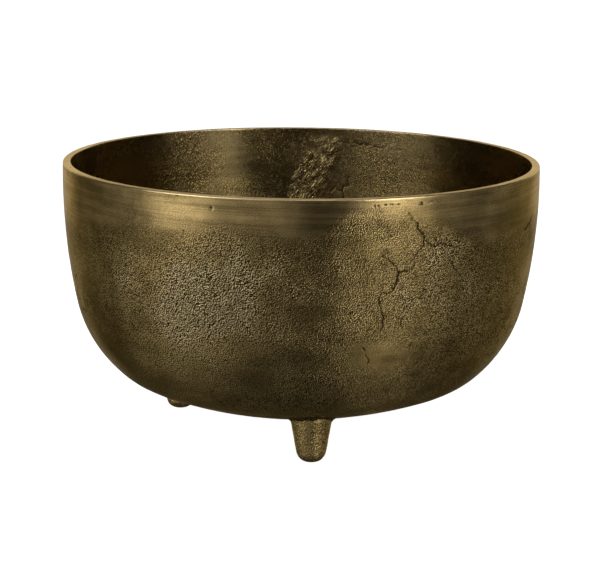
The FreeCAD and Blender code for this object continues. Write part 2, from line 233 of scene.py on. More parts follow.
def bowl_section():
    """The closed half section from the outside's pole over the rim to the inside's pole.

    Also which piece each point is in: 0 outside, 1 edge, 2 flat of the rim, 3 mouth, 4 inside.
    """
    outside = np.vstack([arc_points(*arc) for arc in ARCS])
    outside = outside[outside[:, 1] < RIM_HEIGHT - RIM_ROUNDING]
    inside = outside.copy()
    inside[:, :2] -= WALL_THICKNESS * inside[:, 2:]
    inside = inside[(inside[:, 1] < RIM_HEIGHT - MOUTH_ROUNDING) & (inside[:, 0] >= 0)]
    inside[:, 2:] *= -1
    edge_x = outside[-1, 0] - RIM_ROUNDING
    mouth_x = inside[-1, 0] + MOUTH_ROUNDING
    edge = arc_points(edge_x, RIM_HEIGHT - RIM_ROUNDING, RIM_ROUNDING, RIM_LEAN, 90.0,
                      ROUNDING_STEP)
    mouth = arc_points(mouth_x, RIM_HEIGHT - MOUTH_ROUNDING, MOUTH_ROUNDING, 90.0, 179.0,
                       ROUNDING_STEP)
    flat_x = np.arange(edge_x, mouth_x, -SECTION_STEP)
    flat = np.stack([flat_x, np.full_like(flat_x, RIM_HEIGHT), 0 * flat_x, 1 + 0 * flat_x], 1)
    pieces = (outside, edge, flat, mouth, inside[::-1])
    part = np.concatenate([np.full(len(piece), number) for number, piece in enumerate(pieces)])
    return np.vstack(pieces), part


def spread(values, gaps, count=None):
    """Positions along values that are about gaps apart, count of them if it's given."""
    travel = np.diff(values) / ((gaps[1:] + gaps[:-1]) / 2)
    travel = np.concatenate([[0], np.cumsum(travel)])
    count = count or int(round(travel[-1]))
    return np.interp((np.arange(count) + 0.5) * travel[-1] / count, travel, values)


def gap_at(height, gaps):
    return np.select([height < limit * MM for limit, _ in gaps], [gap for _, gap in gaps])


def bowl_rows():
    """Rings of the bowl's skin: x, z, out x, out z, whether inside, and whether on the rim."""
    section, part = bowl_section()
    length = np.concatenate([[0], np.cumsum(np.hypot(*np.diff(section[:, :2], axis=0).T))])
    height = section[:, 1]
    level = 0 * height
    gap = np.choose(part, [gap_at(height, OUTSIDE_GAPS), EDGE_GAP + level, FLAT_GAP + level,
                           MOUTH_GAP + level, gap_at(height, INSIDE_GAPS)])
    spots = spread(length, gap * MM)
    rows = np.stack([np.interp(spots, length, section[:, column]) for column in range(4)], 1)
    rows[:, 2:] /= np.hypot(rows[:, 2], rows[:, 3])[:, None]
    inside = np.interp(spots, length, part >= 3)
    rim = np.interp(spots, length, np.isin(part, (1, 2, 3)).astype(float))
    return rows, inside, rim


def column_angles():
    """Azimuths of the columns, closer together in the dense sectors."""
    angle = np.linspace(-180, 180, 7201)
    gap = 1.0 + 0 * angle
    for start, full, fading, end, share in DENSE_SECTORS:
        gap -= share * smoothstep(start, full, angle) * smoothstep(end, fading, angle)
    return spread(angle, gap, COLUMNS)


def ring_steps(radii):
    """On every how many columns each ring has a point, at most doubling from ring to ring."""
    steps = np.select([radii > limit * MM for limit in FULL_RINGS], [1, 2, 4, 8, 16], 32)
    peak = len(radii) // 2
    for ring in range(peak, len(radii) - 1):
        steps[ring + 1] = min(steps[ring + 1], steps[ring] * 2)
    for ring in range(peak, 0, -1):
        steps[ring - 1] = min(steps[ring - 1], steps[ring] * 2)
    return steps


def bowl_skin():
    """The smooth skin from pole to pole: points, directions out, azimuths, inside, rim, steps."""
    rows, inside, rim = bowl_rows()
    angles = np.radians(column_angles())
    steps = ring_steps(rows[:, 0])
    picks = [np.arange(0, COLUMNS, step) for step in steps]
    ring_of = np.concatenate([np.full(len(pick), ring) for ring, pick in enumerate(picks)])
    angle = angles[np.concatenate(picks)]
    x, z, out_x, out_z = rows[ring_of].T
    spots = np.stack([x * np.sin(angle), -x * np.cos(angle), z], 1)
    out = np.stack([out_x * np.sin(angle), -out_x * np.cos(angle), out_z], 1)
    spots = np.vstack([[0, 0, rows[0, 1]], spots, [0, 0, rows[-1, 1]]])
    out = np.vstack([[0, 0, -1], out, [0, 0, 1]])
    angle = np.concatenate([[0], angle, [0]])
    inside = np.concatenate([[0], inside[ring_of], [1]])
    rim = np.concatenate([[0], rim[ring_of], [0]])
    return spots, out, angle, inside, rim, steps


# ---------------------------------------------------------------- features of the casting

# Cracks in the outside: width in mm, then azimuth and height in mm of each bend.
CRACKS = (
    (0.22, ((19, 162.5), (20.2, 160.5), (19.8, 159), (21, 157))),
    (0.41, ((21, 157), (21.5, 153), (23, 149.5), (23.5, 146), (22.7, 142), (21, 137), (21, 131),
            (20.5, 129), (18.7, 128.8), (17, 129), (16.8, 124), (16.3, 119.5), (15.6, 116.5),
            (13.3, 117))),
    (0.38, ((13.3, 117), (12.8, 113), (13.5, 105.5), (14.3, 100.5), (14, 95.5), (13.6, 93))),
    (0.38, ((23.4, 146), (24.6, 143.5), (26.3, 142), (27.7, 143), (29.2, 142.3))),
    (0.36, ((17, 129), (16.3, 132.5), (15, 135), (13.3, 139))),
    (0.4, ((30.6, 133), (31.3, 129.7), (33, 125), (34.6, 121.5))),
    (0.38, ((18.6, 100.5), (19.3, 93.5))),
    (0.38, ((22.5, 85.3), (22, 81))),
    (0.30, ((9.6, 83.5), (10.4, 80.5))),
    (0.30, ((10.9, 78), (11.9, 74.5), (11.5, 73))),
    (0.4, ((65.8, 146), (63.6, 142.7), (59.8, 140))),
    (0.15, ((20.8, 168.2), (23.2, 167.6), (25, 168.9), (27.6, 168.9))),
)
# Pits in the outside: azimuth, height in mm and radius in mm.
PITS = (
    (11, 168, 0.4), (11.7, 168.1, 0.55), (13.6, 168.3, 0.4), (14.8, 168.3, 0.5),
    (15.3, 168.3, 0.4), (16.8, 168.1, 0.45), (22.4, 168.6, 0.5), (22.5, 167.6, 0.4),
    (-25, 166, 1.05), (-32, 151, 0.5), (-33.5, 170.6, 0.6), (-14, 163, 0.4),
)
# The same for the inside of the back.
INNER_CRACKS = (
    (0.6, ((161.3, 139), (161.9, 136), (161.4, 133), (162.9, 131), (163.1, 128), (162.4, 125.5),
           (163, 123))),
    (0.5, ((163.1, 128), (164.9, 130.5), (166.4, 129))),
    (0.4, ((162.6, 162.7), (161.6, 162.4))),
    (0.6, ((160, 162.3), (158.9, 161.6), (157.6, 161.9))),
    (0.5, ((156.6, 161.2), (155.2, 161.4))),
    (0.45, ((153.9, 160.8), (152.4, 160.2))),
    (0.4, ((160.6, 159.6), (159.2, 159.2))),
)
INNER_PITS = (
    (161.4, 162.1, 0.6), (159.4, 162.5, 0.85), (158.2, 161.6, 0.7), (156.8, 161.5, 0.85),
    (155.6, 161.8, 0.6), (154, 161.0, 0.7), (151.5, 161.4, 0.5), (174, 163, 0.7),
    (147, 160, 0.6),
)
# Lower edge of the turned band under the rim: azimuth and height in mm.
BAND_EDGE = (
    (-180, 152), (-150, 155), (-110, 146), (-77, 137), (-62, 145), (-54, 149), (-47, 153),
    (-35, 153.5), (-25, 152), (-7, 150), (-3, 151), (1, 157), (5.5, 161), (19, 161), (24, 157),
    (30, 150), (36, 144), (43, 141), (52, 143), (75, 146), (110, 152), (150, 155), (180, 152),
)
# How deep or high the features are, in mm.
CRACK_DEPTH = 0.34
PIT_DEPTH = 0.45
HOLE_DEPTH = 0.20
CREASE_DEPTH = 0.10
FOLD_HEIGHT = 0.80
COARSE_SWELL, MIDDLE_SWELL, SMALL_SWELL = 0.16, 0.10, 0.05
PEBBLE_HEIGHT, GRIT_HEIGHT = 0.025, 0.04
RIM_WAVER = 0.05
# The folds inside the back slant up to the right, and lie along a line that leans: its azimuth
# at a height in mm, and how much the azimuth grows per mm down.
FOLD_SLANT = 50.0
FOLD_LENGTHENING = 2.4
FOLD_AZIMUTH, FOLD_TOP, FOLD_LEAN = 168.7, 161, 0.147


def nearest_line(across, up, cracks):
    """For each point, how deep in a crack it is, from 0 to 1."""
    depth = np.zeros(len(across))
    for width, bends in cracks:
        ends = np.array([(math.radians(azimuth) * RIM_RADIUS / MM, height)
                         for azimuth, height in bends])
        away = np.full(len(across), np.inf)
        for start, end in zip(ends, ends[1:]):
            run = end - start
            along = ((across - start[0]) * run[0] + (up - start[1]) * run[1]) / (run @ run)
            along = np.clip(along, 0, 1)
            gap = np.hypot(across - start[0] - along * run[0], up - start[1] - along * run[1])
            away = np.minimum(away, gap)
        depth = np.maximum(depth, np.exp(-(away / width) ** 2))
    return depth


def pit_depth(across, up, pits):
    """For each point, how deep in a pit it is, from 0 to 1."""
    depth = np.zeros(len(across))
    for azimuth, height, radius in pits:
        away = np.hypot(across - math.radians(azimuth) * RIM_RADIUS / MM, up - height)
        depth = np.maximum(depth, np.exp(-(away / radius) ** 2))
    return depth


def turned_share(azimuth, height, inside, rim, patch, blotch, small):
    """How far the skin was turned or brushed smooth: a band under the rim, and up the inside."""
    edge = np.interp(azimuth, *zip(*BAND_EDGE)) + 2.0 * patch + 2.0 * blotch + 1.2 * small
    band = smoothstep(edge - 7, edge + 8, height) * (1 - inside)
    brushed = np.clip(0.60 + 0.30 * patch + 0.25 * blotch, 0.25, 0.85)
    brushed = np.maximum(brushed, 0.75 * smoothstep(164, 171, height))
    turned = np.where(inside > 0.5, brushed * smoothstep(60, 100, height), band)
    return np.maximum(turned, rim)


def grain_share(azimuth, height, is_inside, turned, patch, blotch):
    """How much grain the sand left: most on the left of the front, least low down."""
    strong = bell(azimuth, -27, 16) * bell(height, 112, 34)
    strong += 0.30 * bell(azimuth, 24, 14) * bell(height, 112, 32)
    grain = 0.42 + 0.65 * strong + 0.20 * patch + 0.20 * blotch
    grain -= 0.55 * bell(azimuth, 13, 8) * bell(height, 76, 12)
    grain -= 0.25 * smoothstep(50, 25, height)
    inner = 0.30 + 0.25 * bell(np.abs(azimuth), 152, 9)
    inner += 0.25 * bell(np.mod(azimuth, 360), 171, 7)
    inner += 0.25 * patch
    grain = np.clip(np.where(is_inside, inner, grain), 0.1, 1.1)
    return grain * (1 - np.where(is_inside, 0.3, 0.68) * turned)


def cracks_and_pits(spots, angle, is_inside, turned):
    """The cracks and pits. Their lines wander a little from their bends."""
    azimuth, height = np.degrees(angle), spots[:, 2] / MM
    across = angle * RIM_RADIUS / MM + 0.9 * noise(spots, 7, 8) + 0.7 * noise(spots, 2.4, 9)
    up = height + 0.9 * noise(spots, 7, 10) + 0.7 * noise(spots, 2.4, 11)
    crack = np.zeros(len(spots))
    pit = np.zeros(len(spots))
    front = ~is_inside & (np.abs(azimuth) < 75) & (height > 60)
    back = is_inside & (azimuth > 145) & (height > 100)
    for where, lines, holes in ((front, CRACKS, PITS), (back, INNER_CRACKS, INNER_PITS)):
        crack[where] = nearest_line(across[where], up[where], lines)
        pit[where] = pit_depth(across[where], up[where], holes)
    strength = 0.95 + 0.3 * noise(spots, 9, 12) + 0.5 * noise(spots, 1.9, 21)
    return crack * np.clip(strength, 0.3, 1.15) * (1 - 0.25 * turned), pit


def folds(spots, azimuth, height, inside):
    """Where the metal froze in slanting folds inside the back, and how high they stand."""
    slant = math.radians(FOLD_SLANT)
    rise, side = spots[:, 2], spots[:, 0]
    along = side * math.cos(slant) + rise * math.sin(slant)
    over = rise * math.cos(slant) - side * math.sin(slant)
    slanted = np.stack([along / FOLD_LENGTHENING, over, 0 * over], 1)
    middle = FOLD_AZIMUTH + (FOLD_TOP - height) * FOLD_LEAN + noise(spots, 14, 18)
    fold = inside * smoothstep(6.5, 2.6, np.abs(np.mod(azimuth, 360) - middle))
    fold *= smoothstep(168, 162, height) * smoothstep(95, 115, height)
    fold *= smoothstep(-0.9, -0.1, noise(spots, 12, 23) + 0.006 * (155 - height))
    return fold, fold * (0.5 * noise(slanted, 3.4, 22) + 0.3 * noise(spots, 6, 24))


def build_bowl():
    spots, out, angle, inside, rim, steps = bowl_skin()
    azimuth, height = np.degrees(angle), spots[:, 2] / MM
    is_inside = inside > 0.5
    coarse, middle, small = noise(spots, 70, 1), noise(spots, 26, 2), noise(spots, 10, 3)
    pebble, grit = noise(spots, 4.6, 4), noise(spots, 2.4, 5)
    patch, blotch = noise(spots, 45, 6), noise(spots, 16, 7)

    turned = turned_share(azimuth, height, inside, rim, patch, blotch, small)
    grain = grain_share(azimuth, height, is_inside, turned, patch, blotch)
    crack, pit = cracks_and_pits(spots, angle, is_inside, turned)
    fold, wrinkle = folds(spots, azimuth, height, inside)
    # Small holes left by gas and loose sand, thinly scattered over the cast skin.
    holes = smoothstep(0.58, 0.80, noise(spots, 2.6, 13)) * (1 - turned)
    holes *= smoothstep(0.1, 0.5, noise(spots, 30, 14))
    # Shallow creases where the metal chilled as it ran.
    crease = smoothstep(0.12, 0.0, np.abs(noise(spots, 24, 15) + 0.25 * noise(spots, 6, 16)))
    crease *= smoothstep(0.1, 0.45, noise(spots, 55, 17)) * (1 - turned)

    swell = COARSE_SWELL * coarse + MIDDLE_SWELL * middle + SMALL_SWELL * small
    push = swell * np.where(rim > 0.5, 0.25, 1 - 0.45 * turned)
    push += (PEBBLE_HEIGHT * pebble + GRIT_HEIGHT * grit) * grain
    push -= CRACK_DEPTH * crack + PIT_DEPTH * pit + HOLE_DEPTH * holes + CREASE_DEPTH * crease
    push += FOLD_HEIGHT * wrinkle
    # The rim was dressed by hand: its edges waver.
    push += RIM_WAVER * rim * (noise(spots, 14, 19) + noise(spots, 4, 20))
    spots = spots + out * (push * MM - SKIN_INSET)[:, None]

    bowl = mesh_object("brass_bowl", spots, lathe_faces(steps, COLUMNS), {
        "dark": np.clip(1.3 * crack + 1.2 * pit + 0.7 * holes + 0.35 * crease, 0, 1),
        "grain": np.clip(grain, 0, 1),
        "turned": turned,
        # Hands and cloths have kept the rim and the top of the inside brighter.
        "rub": np.maximum(rim, 0.62 * inside * smoothstep(138, 167, height)),
        "inner": inside,
        "tone": np.clip(0.5 + 0.35 * coarse + 0.35 * patch + 0.25 * blotch, 0, 1),
        "fold": fold,
    })
    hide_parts("bowl_shell")
    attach(bowl, "root")
    return bowl


# ---------------------------------------------------------------- feet and braze

FOOT_COLUMNS = 160
FOOT_TOE_RINGS, FOOT_SIDE_RINGS = 17, 43
FOOT_IN_BOWL = 0.8 * MM
FOOT_HOLE_DEPTH = 0.3
FOOT_TAPER = math.tan(math.radians(FOOT_DRAFT))
TOE_REACH = FOOT_TOE * math.tan(math.radians(90 - FOOT_DRAFT) / 2)
FLAT_RADIUS = FOOT_TIP_RADIUS - TOE_REACH
TOE_TOP = FOOT_TOE * (1 - math.sin(math.radians(FOOT_DRAFT)))

BRAZE_COLUMNS = 200
BRAZE_SIZE = 2.0
BRAZE_FACE_STEPS = 11
BRAZE_LUMPS = 0.18


def foot_root(site, turn):
    """Radius and height at which the foot's side meets the underside, for each angle round it."""
    height = np.full(len(turn), 26 * MM)
    for _ in range(30):
        radius = FOOT_TIP_RADIUS + height * FOOT_TAPER
        x = site[0] + radius * np.cos(turn)
        y = site[1] + radius * np.sin(turn)
        height = underside(np.hypot(x, y))
    return FOOT_TIP_RADIUS + height * FOOT_TAPER, height


def foot_site(azimuth):
    """Where the middle of a foot stands on the floor."""
    angle = math.radians(azimuth)
    return np.array([FOOT_CIRCLE * math.sin(angle), -FOOT_CIRCLE * math.cos(angle), 0.0])


def build_foot(place, azimuth):
    """A tapered stub with a rounded toe and a lumpy cast side, closed inside the bowl's wall."""
    site = foot_site(azimuth)
    turn = np.linspace(0, 2 * math.pi, FOOT_COLUMNS, endpoint=False)
    top = foot_root(site, turn)[1] + FOOT_IN_BOWL
    level = 0 * turn
    rings = [(FLAT_RADIUS * share + level, level) for share in (0.35, 0.7, 1.0)]
    for angle in np.radians(np.linspace(-90, -FOOT_DRAFT, FOOT_TOE_RINGS + 1)[1:]):
        rings.append((FLAT_RADIUS + FOOT_TOE * math.cos(angle) + level,
                      FOOT_TOE + FOOT_TOE * math.sin(angle) + level))
    for share in np.linspace(0, 1, FOOT_SIDE_RINGS + 1)[1:]:
        height = TOE_TOP + (top - TOE_TOP) * share
        rings.append((FOOT_TIP_RADIUS + height * FOOT_TAPER, height))
    widest = rings[-1][0]
    rings += [(widest * share, top) for share in (0.6, 0.25)]
    radius = np.concatenate([ring[0] for ring in rings])
    height = np.concatenate([ring[1] for ring in rings])
    angle = np.tile(turn, len(rings))
    out = np.stack([np.cos(angle), np.sin(angle), 0 * angle], 1)
    spots = site + radius[:, None] * out
    spots[:, 2] = height
    spots = np.vstack([site, spots, [site[0], site[1], top.mean()]])
    out = np.vstack([[0, 0, 0], out, [0, 0, 0]])
    height = spots[:, 2] / MM
    lump = 0.25 * noise(spots, 11, 31) + 0.12 * noise(spots, 4.5, 32) + 0.06 * noise(spots, 2, 33)
    lump = (lump - 0.12) * smoothstep(0, 3, height)
    hollow = smoothstep(0.6, 0.9, noise(spots, 3, 34)) * smoothstep(2, 5, height)
    spots = spots + out * (lump - FOOT_HOLE_DEPTH * hollow)[:, None] * MM
    faces = lathe_faces([1] * len(rings), FOOT_COLUMNS)
    foot = mesh_object(f"brass_foot_{place}", spots, faces, {"dark": hollow})
    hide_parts(f"foot_{place}")
    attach(foot, "root")
    return foot


def build_braze(place, azimuth):
    """A ring of braze, hollow-faced where it was drawn into the corner, with an uneven edge."""
    site = foot_site(azimuth)
    turn = np.linspace(0, 2 * math.pi, BRAZE_COLUMNS, endpoint=False)
    root_radius, root_height = foot_root(site, turn)
    across = np.stack([np.cos(turn), np.sin(turn), 0 * turn], 1)
    up = np.array([0, 0, 1.0])
    ring = site + root_radius[:, None] * across + root_height[:, None] * up
    uneven = 0.25 * noise(ring, 9, 41) + 0.30 * noise(ring, 3.5, 42)
    wide = BRAZE_SIZE * (1 + uneven)[:, None] * MM
    tall = BRAZE_SIZE * (1 + 0.8 * uneven + 0.2 * noise(ring, 5, 45))[:, None] * MM
    # The underside rises outward from the axis, so the ring's outer edge follows it.
    outer = ring + wide * across
    outer[:, 2] = underside(np.hypot(outer[:, 0], outer[:, 1])) + 0.15 * MM
    low_height = root_height[:, None] - tall
    low_radius = FOOT_TIP_RADIUS + low_height * FOOT_TAPER - 0.3 * MM
    low = site + low_radius * across + low_height * up
    bend = ring + 0.25 * wide * across - 0.25 * tall * up
    hidden = ring - 1.0 * MM * across + 0.6 * MM * up
    loop = [(1 - t) ** 2 * outer + 2 * t * (1 - t) * bend + t ** 2 * low
            for t in np.linspace(0, 1, BRAZE_FACE_STEPS)]
    loop += [low + (hidden - low) * t for t in (0.35, 0.7, 1.0)]
    loop += [hidden + (outer - hidden) * t for t in (0.35, 0.7)]
    spots = np.stack(loop, 1)
    sides = spots.shape[1]
    # Only the face is lumpy, not its edges.
    face = slice(1, BRAZE_FACE_STEPS - 1)
    lump = noise(spots[:, face].reshape(-1, 3), 2.4, 43).reshape(BRAZE_COLUMNS, -1)
    spots[:, face] += BRAZE_LUMPS * MM * lump[..., None] * (across - up)[:, None, :]
    here = np.arange(BRAZE_COLUMNS * sides).reshape(BRAZE_COLUMNS, sides)
    after = np.roll(here, -1, axis=0)
    faces = np.stack([here, np.roll(here, -1, axis=1), np.roll(after, -1, axis=1), after], -1)
    braze = mesh_object(f"braze_bead_{place}", spots.reshape(-1, 3), [faces.reshape(-1, 4)],
                        {"dark": np.zeros(BRAZE_COLUMNS * sides)})
    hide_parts(f"braze_{place}")
    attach(braze, "root")
    return braze


# ---------------------------------------------------------------- materials

# Colours of the bowl's brass, from the patina at the bottom of a crack, which is also used as
# painted shade, to the painted highlight on a grain.
DEEP_PATINA_AND_SHADE = (0.022, 0.014, 0.004)
PATINA = (0.092, 0.062, 0.020)
BRASS = (0.205, 0.143, 0.050)
INNER_PATINA = (0.17, 0.145, 0.075)
WIPED_DULL = (0.27, 0.190, 0.076)
WIPED_BRIGHT = (0.60, 0.43, 0.185)
RUBBED = (0.40, 0.30, 0.135)
POLISHED = (0.78, 0.61, 0.33)
# Colours of the painted highlights on the grain and the folds, the paler one where the grain is
# strongest.
WARM_PAINTED_HIGHLIGHT = (1.0, 0.75, 0.33)
PALE_PAINTED_HIGHLIGHT = (1.0, 0.79, 0.42)
# Colour towards the edges of a metal surface.
EDGE_TINT = (1.0, 0.80, 0.48)
# Dull and middle colours of the feet and the braze, and the bright colour of their painted
# highlights.
FOOT_COLOURS = ((0.17, 0.115, 0.036), (0.34, 0.235, 0.080), (0.85, 0.62, 0.26))
BRAZE_COLOURS = ((0.06, 0.041, 0.014), (0.15, 0.104, 0.038), (0.36, 0.26, 0.11))

# Grains per metre of each noise, and depths of the relief.
PEBBLE_SCALE = 1250.0
FINE_SCALE = 1600.0
BROAD_SCALE = 1080.0
UNDER_SCALE = 700.0
FOLD_SCALE = 850.0
CLOUD_SCALE, SPECK_SCALE = 38.0, 170.0
FOOT_SCALE, BRAZE_SCALE = 640.0, 650.0
CAST_CLOUD_SCALE = 110.0
SCRATCH_RELIEF = 0.06 * MM
GRAIN_RELIEF = 0.45 * MM
FOLD_RELIEF = 0.9 * MM
CAST_RELIEF = 0.22 * MM
# How far off the second noise of a pair is, across the grain and down it.
FINE_SHIFT = 0.27 * MM
BROAD_SHIFT = 0.40 * MM
FOLD_SHIFT = 0.60 * MM
CAST_SHIFT = 0.24 * MM


class Shader:
    """A short way to write a node material. Each call adds a node and returns its output."""

    def __init__(self, name):
        self.material = bpy.data.materials.new(name)
        self.material.use_nodes = True
        self.tree = self.material.node_tree
        self.surface = self.tree.nodes["Principled BSDF"]
        self.surface.inputs["Metallic"].default_value = 1.0
        self.surface.inputs["Specular Tint"].default_value = (*EDGE_TINT, 1.0)
        self.place = self.node("ShaderNodeTexCoord").outputs["Object"]

    def node(self, kind, settings=None, **inputs):
        """Inputs are named, or numbered as i0, i1 and so on."""
        made = self.tree.nodes.new(kind)
        for key, value in (settings or {}).items():
            setattr(made, key, value)
        for key, value in inputs.items():
            number = key[1:]
            self.feed(made.inputs[int(number) if number.isdigit() else key], value)
        return made

    def feed(self, socket, value):
        if isinstance(value, bpy.types.NodeSocket):
            self.tree.links.new(value, socket)
        else:
            socket.default_value = value

    def attribute(self, name):
        return self.node("ShaderNodeAttribute", {"attribute_name": name}).outputs["Fac"]

    def math(self, operation, first, second=0.0, third=0.0, clamp=False):
        settings = {"operation": operation, "use_clamp": clamp}
        return self.node("ShaderNodeMath", settings, i0=first, i1=second, i2=third).outputs[0]

    def times(self, first, second):
        return self.math("MULTIPLY", first, second)

    def less(self, first, second):
        return self.math("SUBTRACT", first, second)

    def add(self, base, value, share=1.0):
        """The base with a share of the value added."""
        return self.math("MULTIPLY_ADD", value, share, base)

    def vector(self, operation, first, second):
        return self.node("ShaderNodeVectorMath", {"operation": operation}, i0=first,
                         i1=second).outputs[0]

    def scaled(self, x, y, z):
        return self.vector("MULTIPLY", self.place, (x, y, z))

    def noise(self, scale, detail=2.0, roughness=0.5, place=None):
        made = self.node("ShaderNodeTexNoise", Vector=place or self.place, Scale=scale,
                         Detail=detail, Roughness=roughness)
        return made.outputs["Fac"]

    def facing(self, scale, detail, place, shift):
        """A noise, and how much higher it is than a little way off: which way it slopes."""
        here = self.noise(scale, detail, 0.5, place)
        beside = self.noise(scale, detail, 0.5, self.vector("ADD", place, shift))
        return here, self.less(here, beside)

    def pebbles(self, scale, edge):
        """Round cells with gaps between them, 1 in the middle of each."""
        cells = self.node("ShaderNodeTexVoronoi", Vector=self.place, Scale=scale)
        return self.range(cells.outputs["Distance"], 0.1, edge, 1.0, 0.0)

    def range(self, value, low, high, to_low=0.0, to_high=1.0):
        settings = {"interpolation_type": "SMOOTHSTEP"}
        return self.node("ShaderNodeMapRange", settings, i0=value, i1=low, i2=high, i3=to_low,
                         i4=to_high).outputs[0]

    def mix(self, share, first, second):
        made = self.node("ShaderNodeMix", {"data_type": "RGBA", "clamp_factor": True})
        self.feed(made.inputs["Factor"], share)
        for socket, value in zip((made.inputs[6], made.inputs[7]), (first, second)):
            self.feed(socket, value if isinstance(value, bpy.types.NodeSocket) else (*value, 1.0))
        return made.outputs[2]

    def bump(self, height, distance, normal=None):
        made = self.node("ShaderNodeBump", Strength=1.0, Distance=distance, Height=height)
        if normal:
            self.feed(made.inputs["Normal"], normal)
        return made.outputs["Normal"]


def bowl_material():
    s = Shader("antique_brass_cast")
    dark, grain, turned = s.attribute("dark"), s.attribute("grain"), s.attribute("turned")
    rub, tone, inner = s.attribute("rub"), s.attribute("tone"), s.attribute("inner")
    fold = s.attribute("fold")

    # Grain left by the sand: pebbles with gaps between them, in the bump. The slope of the fine
    # noise is used below to paint one side of each grain lighter, as painted light.
    fine, fine_side = s.facing(FINE_SCALE, 0.0, s.place, (FINE_SHIFT, 0.0, -FINE_SHIFT))
    pebbles = s.add(s.times(s.noise(UNDER_SCALE, 1.0, 0.5), 0.15), fine, 0.9)
    pebbles = s.add(pebbles, s.pebbles(PEBBLE_SCALE, 0.62), 0.35)
    # Slanting folds inside the back.
    slanted = s.node("ShaderNodeMapping", {"vector_type": "TEXTURE"}, Vector=s.place,
                     Rotation=(0.0, math.radians(-FOLD_SLANT), 0.0),
                     Scale=(2.6, 1.0, 1.0)).outputs[0]
    ridges, ridge_side = s.facing(FOLD_SCALE, 1.0, slanted, (0.0, 0.0, -FOLD_SHIFT))
    # Fine lines round the turned band.
    lines = s.noise(1.0, 3.0, 0.6, s.scaled(9.0, 9.0, 1500.0))
    strokes = s.noise(1.0, 2.0, 0.5, s.scaled(22.0, 22.0, 420.0))
    normal = s.bump(s.times(s.add(lines, strokes, 0.5), turned), SCRATCH_RELIEF)
    normal = s.bump(s.times(pebbles, grain), GRAIN_RELIEF, normal)
    normal = s.bump(s.times(ridges, fold), FOLD_RELIEF, normal)
    s.feed(s.surface.inputs["Normal"], normal)
    # Turning left lines round the bowl, so it shines up and down more than sideways.
    round_axis = s.node("ShaderNodeTangent", {"direction_type": "RADIAL", "axis": "Z"})
    s.feed(s.surface.inputs["Tangent"], round_axis.outputs[0])
    s.surface.inputs["Anisotropic"].default_value = 0.75
    s.surface.inputs["Anisotropic Rotation"].default_value = 0.25

    # Patina and brass in clouds and streaks, wiped brighter where it was turned.
    cloud = s.noise(CLOUD_SCALE, 4.0, 0.6)
    speck = s.noise(SPECK_SCALE, 3.0, 0.65)
    drawn = s.noise(1.0, 3.0, 0.6, s.scaled(14.0, 14.0, 170.0))
    smears = s.noise(1.0, 2.0, 0.55, s.scaled(24.0, 24.0, 120.0))
    base = s.add(s.add(s.times(tone, 0.4), speck, 0.35), cloud, 0.5)
    base = s.add(base, s.less(drawn, 0.5), s.add(0.55, inner, 1.3))
    base = s.add(base, s.less(smears, 0.5), 0.6)
    colour = s.mix(s.range(base, 0.38, 0.85), PATINA, BRASS)
    streak = s.range(s.add(cloud, lines, 0.4), 0.45, 1.0, 0.5, 0.85)
    bright = s.range(s.add(s.add(drawn, cloud, 0.4), lines, 0.6), 0.8, 1.2)
    wiping = s.times(turned, s.add(1.0, inner, -0.65))
    colour = s.mix(s.times(wiping, streak), colour, s.mix(bright, WIPED_DULL, WIPED_BRIGHT))
    colour = s.mix(s.times(rub, 0.7), colour, RUBBED)
    colour = s.mix(s.range(rub, 0.7, 1.0), colour, POLISHED)

    # Painted shade and painted glints on the grain, from which way it slopes, with the gaps between
    # pebbles darker and their middles lighter; crisper and paler where the grain is strongest.
    strongest = s.range(grain, 0.55, 0.95)
    broad_side = s.facing(BROAD_SCALE, 0.0, s.place, (BROAD_SHIFT, 0.0, -BROAD_SHIFT))[1]
    # Painted light: how the grain slopes, as if lit from one side, with the middles of the pebbles
    # a little lighter.
    painted_light = s.add(fine_side, s.less(pebbles, 0.70), 0.4)
    painted_light = s.add(painted_light, s.times(broad_side, strongest), 0.8)
    painted_light = s.add(0.04, s.less(painted_light, 0.04), s.add(1.0, strongest, 1.3))
    painted_glints_and_tips = s.range(painted_light, 0.06, 0.13)
    painted_shade_and_gaps = s.range(painted_light, 0.025, -0.03)
    grainy = s.math("MULTIPLY", grain, 1.2, clamp=True)
    # Painted shade on the sides that slope away, which also darkens the gaps between pebbles.
    colour = s.mix(s.times(painted_shade_and_gaps, grainy), colour, DEEP_PATINA_AND_SHADE)
    # Painted highlights on the sides that slope towards the light.
    painted_highlight_colour = s.mix(strongest, WARM_PAINTED_HIGHLIGHT, PALE_PAINTED_HIGHLIGHT)
    colour = s.mix(s.times(painted_glints_and_tips, s.times(grainy, 0.8)), colour, painted_highlight_colour)
    # Painted shade and painted highlights on the folds, from which way they slope.
    colour = s.mix(s.times(s.times(s.range(ridge_side, 0.0, -0.12), fold), 0.9), colour, DEEP_PATINA_AND_SHADE)
    colour = s.mix(s.times(s.times(s.range(ridge_side, 0.06, 0.17), fold), 0.9), colour, WARM_PAINTED_HIGHLIGHT)
    colour = s.mix(s.times(inner, 0.12), colour, INNER_PATINA)
    colour = s.mix(s.times(dark, 0.92), colour, DEEP_PATINA_AND_SHADE)
    s.feed(s.surface.inputs["Base Color"], colour)

    rough = s.range(s.add(cloud, speck, 0.4), 0.4, 1.0, 0.50, 0.36)
    rough = s.add(s.add(rough, turned, -0.10), inner, -0.12)
    rough = s.add(rough, s.times(painted_glints_and_tips, strongest), -0.12)
    s.feed(s.surface.inputs["Roughness"], s.add(rough, dark, 0.3))
    return s.material


